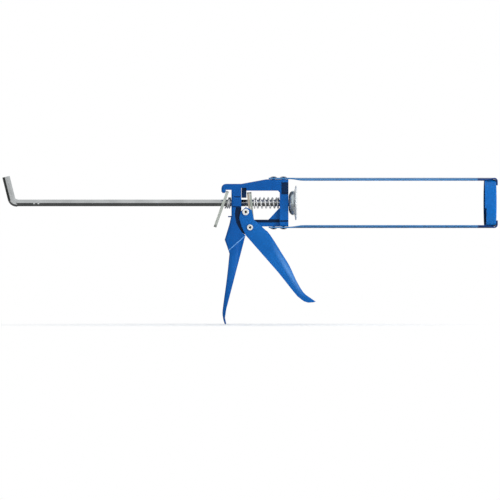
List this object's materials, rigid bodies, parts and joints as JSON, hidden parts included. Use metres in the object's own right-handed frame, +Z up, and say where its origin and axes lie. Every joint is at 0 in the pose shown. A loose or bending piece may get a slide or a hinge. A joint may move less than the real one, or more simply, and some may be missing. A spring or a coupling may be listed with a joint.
{
  "type": "caulking gun",
  "caption": "Skeleton caulking gun with a folded steel frame and handle, sprung trigger and gripping plates, hooked push rod, two long straps and a slotted nose cup.",
  "frame": {"origin": "centre of the plunger's flat front face on the push rod's axis, with the rod drawn fully back", "axes": "+X along the push rod towards the nose cup, +Y across the gun, away from the side the picture shows, +Z up, away from the handle"},
  "size_m": [0.5597, 0.0532, 0.1679],
  "materials": {
    "blue_paint": "gloss blue paint",
    "dark_blue_paint": "gloss dark blue paint",
    "zinc_plate": "bright zinc plating",
    "spring_steel": "plated spring steel",
    "tan_passivated_steel": "warm passivated plating",
    "green_passivated_steel": "greenish passivated plating"
  },
  "bodies": {
    "frame": {"frame": "blue_paint", "plate_stop": "dark_blue_paint", "front_bracket": "blue_paint", "upper_strap": "blue_paint", "lower_strap": "blue_paint", "nose_cup": "blue_paint", "upper_strap_rivet_1": "dark_blue_paint", "upper_strap_rivet_2": "dark_blue_paint", "lower_strap_rivet_1": "dark_blue_paint", "lower_strap_rivet_2": "dark_blue_paint", "trigger_pivot_rivet": "zinc_plate", "main_spring": "spring_steel", "release_spring": "spring_steel"},
    "trigger": {"trigger": "blue_paint", "drive_pin_rivet": "zinc_plate"},
    "drive_plates": {"drive_plate_front": "green_passivated_steel", "drive_plate_rear": "tan_passivated_steel"},
    "release_plate": {"release_plate": "zinc_plate"},
    "rod": {"push_rod": "zinc_plate", "plunger_disc": "zinc_plate", "plunger_dome": "zinc_plate"}
  },
  "joints": [
    {"name": "rod_slide", "type": "slide", "parent": "frame", "child": "rod", "axis": [1, 0, 0], "range_m": [0, 0.205]},
    {"name": "trigger_pivot", "type": "hinge", "parent": "frame", "child": "trigger", "pos_m": [-0.0531, 0, -0.0277], "axis": [0, 1, 0], "range_deg": [0, 35], "stiffness_Nm_per_rad": 0.6, "springref_deg": -17.19},
    {"name": "drive_slide", "type": "slide", "parent": "frame", "child": "drive_plates", "axis": [1, 0, 0], "range_m": [0, 0.011], "deforming": ["main_spring"]},
    {"name": "release_pivot", "type": "hinge", "parent": "frame", "child": "release_plate", "pos_m": [-0.0784, 0, 0.0131], "axis": [0, -1, 0], "range_deg": [0, 12], "stiffness_Nm_per_rad": 0.15, "springref_deg": -28.65, "deforming": ["release_spring"]}
  ],
  "couplings": [
    {"joint": "drive_slide", "follows": "trigger_pivot", "m_per_rad": 0.01777}
  ]
}
